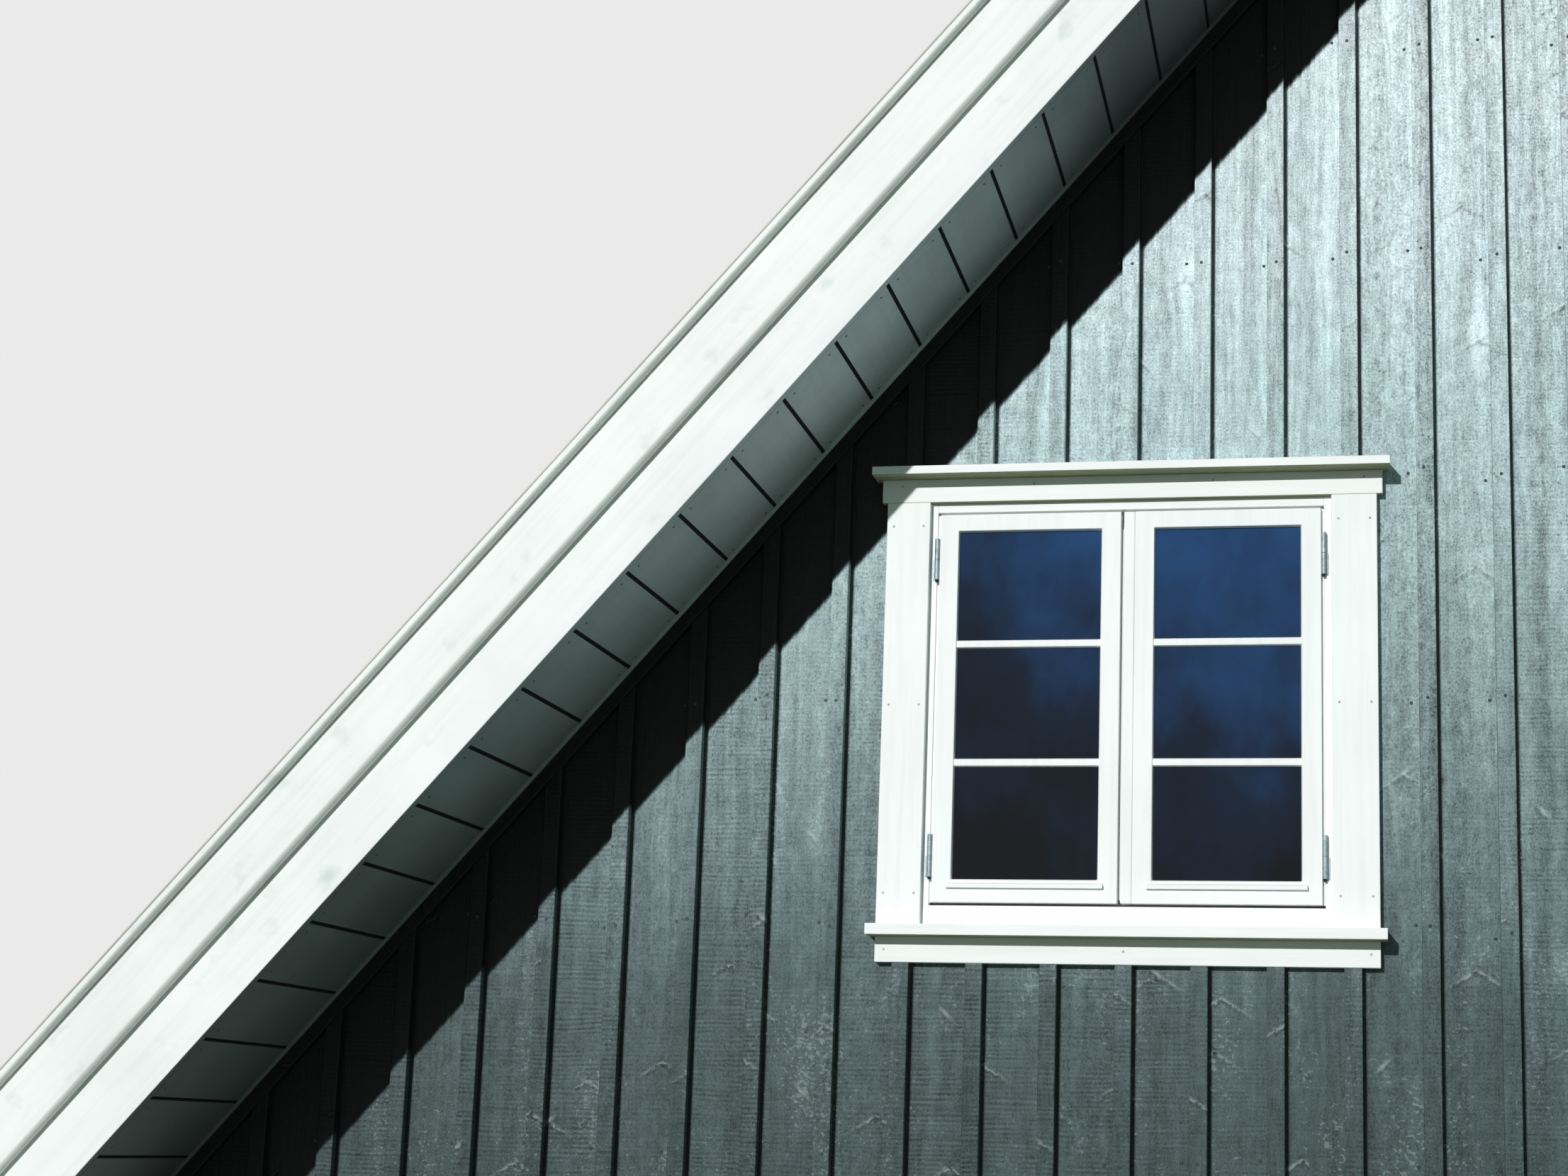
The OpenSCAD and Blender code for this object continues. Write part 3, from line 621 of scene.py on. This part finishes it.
# Each batten is nailed through its middle and each board beside it, in rows up the wall. The nails
# are galvanised, stained over with the wall, and driven a little out of line.
LOWEST_ROW = 0.24
ROW_SPACING = 0.56
NAIL_ROWS = [LOWEST_ROW + ROW_SPACING * count for count in range(7)]
NAIL_R = 0.0042
NAIL_PROUD = 0.0010
BATTEN_HALF = 0.021
BESIDE_BATTEN = 0.014
FREE_OF_RAKE = 0.06
FREE_OF_TRIM = 0.03
BATTEN_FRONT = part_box("cover_battens")[0].y
BOARD_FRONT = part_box("cladding_boards")[0].y
WINDOW_X = (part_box("left_window_sill")[0].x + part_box("left_window_sill")[1].x) / 2
TRIM_HALF = (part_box("left_window_drip_cap")[1].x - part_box("left_window_drip_cap")[0].x) / 2
TRIM_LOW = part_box("left_window_apron")[0].z
TRIM_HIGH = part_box("left_window_drip_cap")[1].z
driven = random.Random(7)
batten_nails = []
board_nails = []
for count in range(-18, 19):
    for row in NAIL_ROWS:
        x = count * BOARD_PITCH + driven.uniform(-0.004, 0.004)
        z = row + driven.uniform(-0.014, 0.014)
        beside = x - BATTEN_HALF - BESIDE_BATTEN + driven.uniform(-0.004, 0.004)
        under_rake = (HALF_SPAN - abs(x) - FREE_OF_RAKE) * math.tan(SLOPE) - 2 * FREE_OF_RAKE
        level_with_trim = TRIM_LOW - FREE_OF_TRIM < z < TRIM_HIGH + FREE_OF_TRIM
        by_window = abs(abs(x) + WINDOW_X) < TRIM_HALF + FREE_OF_TRIM and level_with_trim
        if z < under_rake and not by_window:
            batten_nails.append((x, BATTEN_FRONT, z))
            board_nails.append((beside, BOARD_FRONT, z + driven.uniform(-0.012, 0.012)))
nail_finish, nail_shader = new_finish("stained_nail", 0.5, 0.5, 0.3)
nail_speck = speckle(nail_finish, metres(nail_finish), (700.0, 700.0, 700.0), 2.0)
nail_stain = tint(nail_finish, nail_speck, [(0.3, (0.006, 0.008, 0.008)), (0.7, (0.020, 0.024, 0.024))])
set_colour(nail_finish, nail_shader, nail_stain)
OUTWARDS = (0.0, -1.0, 0.0)
for name, places in (("batten_nails", batten_nails), ("board_nails", board_nails)):
    nail_heads(name, places, OUTWARDS, NAIL_R, NAIL_PROUD, nail_finish)

# A window frame stands in each opening: two jambs with a head and a foot rail between them, rebated
# so that the sashes close against a stop. It is primed and painted white before it is set.
WINDOW_WHITE = (0.912, 0.922, 0.912)
JOINERY_ARRIS = 0.0015
WINDOWS = ("left_window_", "right_window_")
upright_paint = paint_finish("white_paint_upright", WINDOW_WHITE, "z", soil=0.04)
level_paint = paint_finish("white_paint_level", WINDOW_WHITE, "x", soil=0.04)
for side in WINDOWS:
    eased_piece(side + "jambs", side + "frame_jambs", JOINERY_ARRIS, "white_painted_timber", upright_paint)
    eased_piece(side + "rails", side + "frame_rails", JOINERY_ARRIS, "white_painted_timber", level_paint)

# Casings cover the joint between frame and cladding. The head casing runs past the side casings, a
# sloped cap throws the rain clear above, and a sill with an apron under it closes the foot.
# Their undersides are painted an olive grey, as shade.
UNDERSIDE_SHADE = (0.36, 0.40, 0.235)
NOSE_ARRIS = 0.0014
underside_shade_paint = paint_finish("painted_shade_on_undersides", UNDERSIDE_SHADE, "x", 0.7, soil=0.25)


def throating_board(node, name, arris, nose):
    """A board whose underside is painted olive grey as shade, and its nose planed up to nearly its full
    thickness.
    """
    shape = solids_of(node)
    front = min(vert.co.y for vert in shape.verts)
    top = max(vert.co.z for vert in shape.verts)
    for vert in shape.verts:
        if nose and vert.co.y < front + 0.0005 and vert.co.z > top - 0.010:
            vert.co.z = top - 0.0010
    ease(shape, arris)
    shape.normal_update()
    for face in shape.faces:
        face.material_index = 1 if face.normal.z < -0.8 else 0
    return make_piece(name, shape, [level_paint, underside_shade_paint], [node])


for side in WINDOWS:
    eased_piece(side + "side_casings", side + "side_boards", ARRIS, "white_painted_timber", upright_paint)
    throating_board(side + "head_casing", side + "head_board", ARRIS, nose=False)
    throating_board(side + "drip_cap", side + "rain_cap", NOSE_ARRIS, nose=True)
    throating_board(side + "sill", side + "sill_board", NOSE_ARRIS, nose=True)
    eased_piece(side + "apron", side + "apron_board", ARRIS, "white_painted_timber", level_paint)

# The casings are nailed in pairs near both edges, and the head casing and apron along their middle.
# The heads are painted over, with a little rust coming through.
CASING_W = 0.110
CASING_NAIL_INSET = 0.017
CASING_NAIL_ROWS = (0.878, 1.346, 1.802)
HEAD_NAILS = (-0.571, -0.236, 0.210, 0.577)
HEAD_NAIL_RISE = 0.013
APRON_NAILS = (-0.585, 0.0, 0.585)
TRIM_NAIL_R = 0.0032
TRIM_NAIL_PROUD = 0.0007
casing_low, casing_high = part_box("left_window_side_casings")
casing_front = casing_low.y
head_low, head_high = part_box("left_window_head_casing")
head_nail_z = (head_low.z + head_high.z) / 2 + HEAD_NAIL_RISE
apron_low, apron_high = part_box("left_window_apron")
apron_nail_z = (apron_low.z + apron_high.z) / 2
trim_nails = []
for mirror in (1.0, -1.0):
    for z in CASING_NAIL_ROWS:
        for half in (-1.0, 1.0):
            outer = abs(WINDOW_X) + half * (casing_high.x - casing_low.x) / 2
            for inset in (CASING_NAIL_INSET, CASING_W - CASING_NAIL_INSET):
                trim_nails.append((mirror * (outer - half * inset), casing_front, z))
    trim_nails += [(mirror * (WINDOW_X + x), casing_front, head_nail_z) for x in HEAD_NAILS]
    trim_nails += [(mirror * (WINDOW_X + x), casing_front, apron_nail_z) for x in APRON_NAILS]
rusty_finish, rusty_shader = new_finish("painted_nail", 0.5)
rust = speckle(rusty_finish, metres(rusty_finish), (260.0, 260.0, 260.0), 2.0)
rusty_paint = tint(rusty_finish, rust, [(0.35, (0.30, 0.29, 0.27)), (0.7, (0.58, 0.58, 0.56))])
set_colour(rusty_finish, rusty_shader, rusty_paint)
nail_heads("casing_nails", trim_nails, OUTWARDS, TRIM_NAIL_R, TRIM_NAIL_PROUD, rusty_finish)

# Each window has two sashes, hung on its jambs to open outwards. A sash is rebated for its glass, the
# edge round the glass is cut nearly square, and two thin bars make three panes of it.
STILE_W = 0.050
TOP_RAIL_H = 0.045
FOOT_RAIL_H = 0.058
BAR_H = 0.022
BAR_SLANT = 0.003
BAR_LET_IN = 0.0005
LIP = 0.003
GLASS_IN = 0.012
GLASS_T = 0.020


def grown(pane, by):
    """A pane's left, right, low and high edge, each moved out."""
    return (pane[0] - by, pane[1] + by, pane[2] - by, pane[3] + by)


def ring_of(shape, sections):
    """A frame with mitred corners, bridged from section to section round its timber. A section is a
    rectangle and how far in it lies."""
    loops = []
    for (x0, x1, z0, z1), y in sections:
        corners = [shape.verts.new((x, y, z)) for x, z in ((x0, z0), (x1, z0), (x1, z1), (x0, z1))]
        loops.append([shape.edges.new((corners[at - 1], corners[at])) for at in range(4)])
    for loop, following in zip(loops, loops[1:] + loops[:1]):
        bmesh.ops.bridge_loops(shape, edges=loop + following)


def bar_of(shape, x0, x1, outline):
    """A straight bar from x0 to x1, with an outline of points in and up."""
    draw_out(shape, [(x0, y, z) for y, z in outline], (x1 - x0, 0.0, 0.0))


def casement(node, name):
    """A sash with its bars, where the node has its sash."""
    low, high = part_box(node)
    outline = (low.x, high.x, low.z, high.z)
    pane = (low.x + STILE_W, high.x - STILE_W, low.z + FOOT_RAIL_H, high.z - TOP_RAIL_H)
    glass_front = low.y + GLASS_IN
    glass_back = glass_front + GLASS_T
    shape = bmesh.new()
    ring_of(shape, [
        (outline, low.y), (grown(pane, LIP), low.y), (pane, glass_front),
        (grown(pane, GLASS_IN), glass_front), (grown(pane, GLASS_IN), glass_back),
        (pane, glass_back), (pane, high.y), (outline, high.y),
    ])
    pitch = (pane[3] - pane[2] + BAR_H) / 3
    for row in (1, 2):
        foot = pane[2] + row * pitch - BAR_H
        front = low.y + LIP
        bar_of(shape, pane[0] - LIP, pane[1] + LIP, [
            (glass_front, foot), (front, foot + BAR_SLANT),
            (front, foot + BAR_H - BAR_SLANT), (glass_front, foot + BAR_H),
        ])
        bar_of(shape, pane[0] - BAR_LET_IN, pane[1] + BAR_LET_IN, [
            (glass_back, foot), (high.y, foot), (high.y, foot + BAR_H), (glass_back, foot + BAR_H),
        ])
    bmesh.ops.recalc_face_normals(shape, faces=shape.faces)
    ease(shape, JOINERY_ARRIS)
    return make_piece(name, shape, [upright_paint], [node])


for side in WINDOWS:
    casement(side + "outer_sash", side + "outer_casement")
    casement(side + "inner_sash", side + "inner_casement")

# A slim bead in the gap beside each sash shuts out the draught, and a near-black cap sits at the foot of
# each hinge's pin.
BARREL_D = 0.013
BARREL_L = 0.105
BARREL_INSET = 0.062
SASH_PROUD = 0.008
DRAUGHT_BEAD_X = (0.0004, 0.0066)
DRAUGHT_BEAD_Y = (0.012, 0.017)
PIN_CAP_R = (0.0034, 0.0046)
PIN_CAP_H = 0.0064
PIN_CAP_BLACK = (0.018, 0.021, 0.020)
beads = bmesh.new()
pin_feet = bmesh.new()
for side in WINDOWS:
    middle = (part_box(side + "side_casings")[0].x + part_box(side + "side_casings")[1].x) / 2
    for part in ("outer_sash", "inner_sash"):
        low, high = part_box(side + part)
        away = -1.0 if (low.x + high.x) / 2 < middle else 1.0
        edge = low.x if away < 0.0 else high.x
        near, far = sorted(edge + away * out for out in DRAUGHT_BEAD_X)
        front, back = (low.y + inwards for inwards in DRAUGHT_BEAD_Y)
        bar_of(beads, near, far, [(front, low.z), (back, low.z), (back, high.z), (front, high.z)])
        for foot in (low.z + BARREL_INSET, high.z - BARREL_INSET - BARREL_L):
            pin = (edge + away * BARREL_D / 2, low.y + SASH_PROUD - BARREL_D / 2, foot - PIN_CAP_H / 2)
            bmesh.ops.create_cone(
                pin_feet, cap_ends=True, segments=16, radius1=PIN_CAP_R[0], radius2=PIN_CAP_R[1],
                depth=PIN_CAP_H, matrix=Matrix.Translation(pin),
            )
make_piece("draught_beads", beads, [upright_paint])
pin_cap_paint = paint_finish("dark_pin_cap", PIN_CAP_BLACK, "z", soil=0.2)
make_piece("hinge_pin_caps", pin_feet, [pin_cap_paint])

# The cover strip over the meeting stiles is planted on one sash, and a thin bar under each lowest
# pane throws the rain off the foot rail. Both are pinned on last and painted with the sash.
STRIP_ARRIS = 0.0030
DRIP_ARRIS = 0.0010
eased_piece(
    "meeting_strips", "cover_strips_between_sashes", STRIP_ARRIS, "white_painted_timber", upright_paint,
)
eased_piece("glazing_drips", "rain_bars_under_panes", DRIP_ARRIS, "white_painted_timber", level_paint)

# The sashes hold sealed glass, bedded in the rebate. The panes are near black for the dark room behind, with
# a painted reflection of the sky: bluer high up, in soft blotches and in the right-hand sash of each window,
# with a faint ripple.
PANE_BLUES_AND_REFLECTION = ((0.0015, 0.0035, 0.0055), (0.0035, 0.0120, 0.0310), (0.0110, 0.0560, 0.1650))
SASH_TURN = (3.471, 2.19)
REFLECTION_UP = (0.66, -0.92)
glass, glass_shader = new_finish("window_pane", 0.03, 0.2)
glass_shader.inputs["IOR"].default_value = 1.5
ripple = speckle(glass, metres(glass), (5.0, 5.0, 5.0), 1.0)
spot = new_node(glass, "ShaderNodeSeparateXYZ", {0: metres(glass)}).outputs
# Painted reflection: the right-hand sash, the upper panes and soft blotches read bluer.
right_sash = sum_of(glass, "COSINE", sum_of(glass, "MULTIPLY_ADD", spot[0], *SASH_TURN))
cloud = speckle(glass, metres(glass), (5.0, 5.0, 3.4), 4.0, 0.55)
blue_and_reflection = sum_of(glass, "MULTIPLY_ADD", cloud, 0.9, sum_of(glass, "MULTIPLY_ADD", spot[2], *REFLECTION_UP))
blue_and_reflection = sum_of(glass, "MULTIPLY_ADD", right_sash, 0.12, blue_and_reflection)
set_colour(glass, glass_shader, tint(glass, blue_and_reflection, list(zip((0.15, 0.45, 0.85), PANE_BLUES_AND_REFLECTION))))
relief(glass, glass_shader, ripple, 0.0012)
give(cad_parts["window_glass"], glass)

# The sashes hang on lift-off hinges: a galvanised barrel in two halves that turn on a pin, each half
# on a leaf that is let into the sash or screwed to the jamb.
zinc, zinc_shader = new_finish("galvanised_hinge", 0.5, 0.4, 0.45)
spangle = new_node(zinc, "ShaderNodeTexVoronoi", {"Vector": metres(zinc), "Scale": 260.0}).outputs["Color"]
dull = speckle(zinc, metres(zinc), (60.0, 60.0, 60.0), 3.0)
flake = new_node(zinc, "ShaderNodeRGBToBW", {0: spangle}).outputs[0]
tone = sum_of(zinc, "MULTIPLY_ADD", flake, 0.35, dull)
set_colour(zinc, zinc_shader, tint(zinc, tone, [(0.4, (0.17, 0.22, 0.235)), (0.85, (0.33, 0.40, 0.42))]))
relief(zinc, zinc_shader, dull, 0.0002)
give(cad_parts["window_hinges"], zinc)

# On the room side reveal boards line each opening, a window board with ears stands out over the
# lining, and a turning latch draws the two sashes shut.
WINDOW_BOARD_ARRIS = 0.0030
LATCH_ARRIS = 0.0012
eased_piece("reveal_sides", "reveal_side_boards", JOINERY_ARRIS, "white_painted_timber", upright_paint)
eased_piece("reveal_heads", "reveal_head_boards", JOINERY_ARRIS, "white_painted_timber", level_paint)
eased_piece("window_boards", "inside_window_boards", WINDOW_BOARD_ARRIS, "white_painted_timber", level_paint)
eased_piece("window_latches", "turning_latches", LATCH_ARRIS, "galvanised_steel", zinc)

# The room's lining is matchboarding: narrow upright boards with a V at every joint, fitted between
# the slopes and round the windows.
LINING_BOARD = 0.118
LINING_V = 0.0035
LINING_WHITE = (0.62, 0.60, 0.55)
lining_low, lining_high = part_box("inner_lining")
opening_half = (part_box("left_window_jambs")[1].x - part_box("left_window_jambs")[0].x) / 2
opening_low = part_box("left_window_jambs")[0].z
opening_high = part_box("left_window_jambs")[1].z
edges = [
    lining_low.x, WINDOW_X - opening_half, WINDOW_X + opening_half,
    -WINDOW_X - opening_half, -WINDOW_X + opening_half, lining_high.x,
]


def lining_board(shape, x, z):
    """One matchboard from x[0] to x[1] and z[0] to z[1], with its room side chamfered."""
    size = (x[1] - x[0], lining_high.y - lining_low.y, z[1] - z[0])
    middle = ((x[0] + x[1]) / 2, (lining_low.y + lining_high.y) / 2, (z[0] + z[1]) / 2)
    place = Matrix.Translation(middle) @ Matrix.Diagonal((*size, 1.0))
    made = bmesh.ops.create_cube(shape, size=1.0, matrix=place)
    corners = set(made["verts"])
    arrises = [
        edge for edge in shape.edges
        if set(edge.verts) <= corners
        and all(abs(vert.co.y - lining_high.y) < 0.0001 for vert in edge.verts)
        and abs(edge.verts[0].co.x - edge.verts[1].co.x) < 0.0001
    ]
    bmesh.ops.bevel(
        shape, geom=arrises, offset=LINING_V, segments=1, profile=0.5, affect="EDGES", material=-1,
    )


matchboards = bmesh.new()
for start, end in zip(edges, edges[1:]):
    number = round((end - start) / LINING_BOARD)
    at_window = abs(abs(start + end) / 2 + WINDOW_X) < 0.01
    spans = [(0.0, lining_high.z)]
    if at_window:
        spans = [(0.0, opening_low), (opening_high, lining_high.z)]
    for count in range(number):
        x = (start + (end - start) * count / number, start + (end - start) * (count + 1) / number)
        for z in spans:
            lining_board(matchboards, x, z)
for mirror in (1.0, -1.0):
    on_slope = Vector((lining_low.x * mirror, 0.0, 0.0))
    outwards = Vector((OFF_LEFT_SLOPE.x * mirror, 0.0, OFF_LEFT_SLOPE.z))
    cut = bmesh.ops.bisect_plane(
        matchboards, geom=matchboards.verts[:] + matchboards.edges[:] + matchboards.faces[:],
        plane_co=on_slope, plane_no=outwards, clear_outer=True,
    )
    rims = [part for part in cut["geom_cut"] if isinstance(part, bmesh.types.BMEdge)]
    bmesh.ops.holes_fill(matchboards, edges=rims, sides=0)
matchboard_paint = paint_finish("lining_paint", LINING_WHITE, "z")
make_piece("matchboard_lining", matchboards, [matchboard_paint], ["inner_lining"])

# The studio is a pale floor under the gable, one distant lamp from the front left that stands about
# 21 degrees up, and an even room all round, which is pale to look at and fills the shade coolly.
FLOOR_SIZE = 200.0
FLOOR_SEEN = ((0.76, 0.735, 0.725), (0.80, 0.775, 0.765))
FLOOR_GLOW = 0.30
FLOOR_BOUNCE = (0.190, 0.228, 0.168, 1.0)
SUN_TRAVEL = Vector((0.34, 1.0, -0.40))
SUN_STRENGTH = 2.98
SUN_WIDTH = math.radians(0.9)
ROOM_SEEN = 0.82
ROOM_FILL = 0.20
FILL_TINT = (0.60, 0.98, 1.04, 1.0)


def seen_directly(finish):
    """One for camera, glossy and transmitted rays, and nothing for the light that fills the shade."""
    rays = new_node(finish, "ShaderNodeLightPath").outputs
    in_gloss = sum_of(finish, "MAXIMUM", rays["Is Glossy Ray"], rays["Is Transmission Ray"])
    return sum_of(finish, "MAXIMUM", rays["Is Camera Ray"], in_gloss)


floor_shape = bmesh.new()
bmesh.ops.create_grid(floor_shape, x_segments=1, y_segments=1, size=FLOOR_SIZE)
floor_mesh = bpy.data.meshes.new("studio_floor")
floor_shape.to_mesh(floor_mesh)
floor_shape.free()
studio_floor = bpy.data.objects.new("studio_floor", floor_mesh)
bpy.context.scene.collection.objects.link(studio_floor)
floor_finish, floor_shader = new_finish("pale_floor", 0.9, 0.2)
floor_cloud = speckle(floor_finish, metres(floor_finish), (0.7, 0.7, 0.7), 3.0)
floor_seen = seen_directly(floor_finish)
pale = tint(floor_finish, floor_cloud, list(zip((0.3, 0.7), FLOOR_SEEN)))
set_colour(floor_finish, floor_shader, blend(floor_finish, floor_seen, FLOOR_BOUNCE, pale))
floor_shader.inputs["Emission Color"].default_value = (1.0, 1.0, 1.0, 1.0)
glow = sum_of(floor_finish, "MULTIPLY", floor_seen, FLOOR_GLOW)
floor_finish.node_tree.links.new(glow, floor_shader.inputs["Emission Strength"])
give(studio_floor, floor_finish)

sun_data = bpy.data.lights.new("key_lamp", "SUN")
sun_data.energy = SUN_STRENGTH
sun_data.angle = SUN_WIDTH
sun = bpy.data.objects.new("key_lamp", sun_data)
sun.rotation_euler = SUN_TRAVEL.to_track_quat("-Z", "Y").to_euler()
bpy.context.scene.collection.objects.link(sun)

room = bpy.data.worlds.new("studio_room")
bpy.context.scene.world = room
room.use_nodes = True
room_light = room.node_tree.nodes["Background"]
room_seen = seen_directly(room)
strength = sum_of(room, "MULTIPLY_ADD", room_seen, ROOM_SEEN - ROOM_FILL, ROOM_FILL)
room.node_tree.links.new(strength, room_light.inputs["Strength"])
room_tint = blend(room, room_seen, FILL_TINT, (1.0, 1.0, 1.0, 1.0))
room.node_tree.links.new(room_tint, room_light.inputs["Color"])

# The camera stands low in front, a little to the right of the left window, and looks up to it. Its
# focal length is in pixels of the photograph, and a small shift puts the window where it belongs.
PHOTO_W = 2212.0
FOCAL_PIXELS = 3419.0
SENSOR_W = 36.0
CAMERA_SHIFT = (-0.10, 0.06)
CAMERA_PLACE = (-0.342, -5.675, 0.265)
CAMERA_TURN = (-9.99, 10.91, 1.48)
camera_data = bpy.data.cameras.new("camera")
camera_data.sensor_width = SENSOR_W
camera_data.lens = FOCAL_PIXELS / PHOTO_W * SENSOR_W
camera_data.shift_x = CAMERA_SHIFT[0]
camera_data.shift_y = CAMERA_SHIFT[1]
camera = bpy.data.objects.new("camera", camera_data)
camera.location = CAMERA_PLACE
yaw, pitch, roll = (math.radians(degrees) for degrees in CAMERA_TURN)
ahead = Vector((math.sin(yaw) * math.cos(pitch), math.cos(yaw) * math.cos(pitch), math.sin(pitch)))
level = Vector((math.cos(yaw), -math.sin(yaw), 0.0))
upright = level.cross(ahead)
right = level * math.cos(roll) + upright * math.sin(roll)
up = upright * math.cos(roll) - level * math.sin(roll)
camera.rotation_euler = Matrix((right, up, -ahead)).transposed().to_euler()
bpy.context.scene.collection.objects.link(camera)
bpy.context.scene.camera = camera
bpy.context.scene.view_settings.view_transform = "Standard"
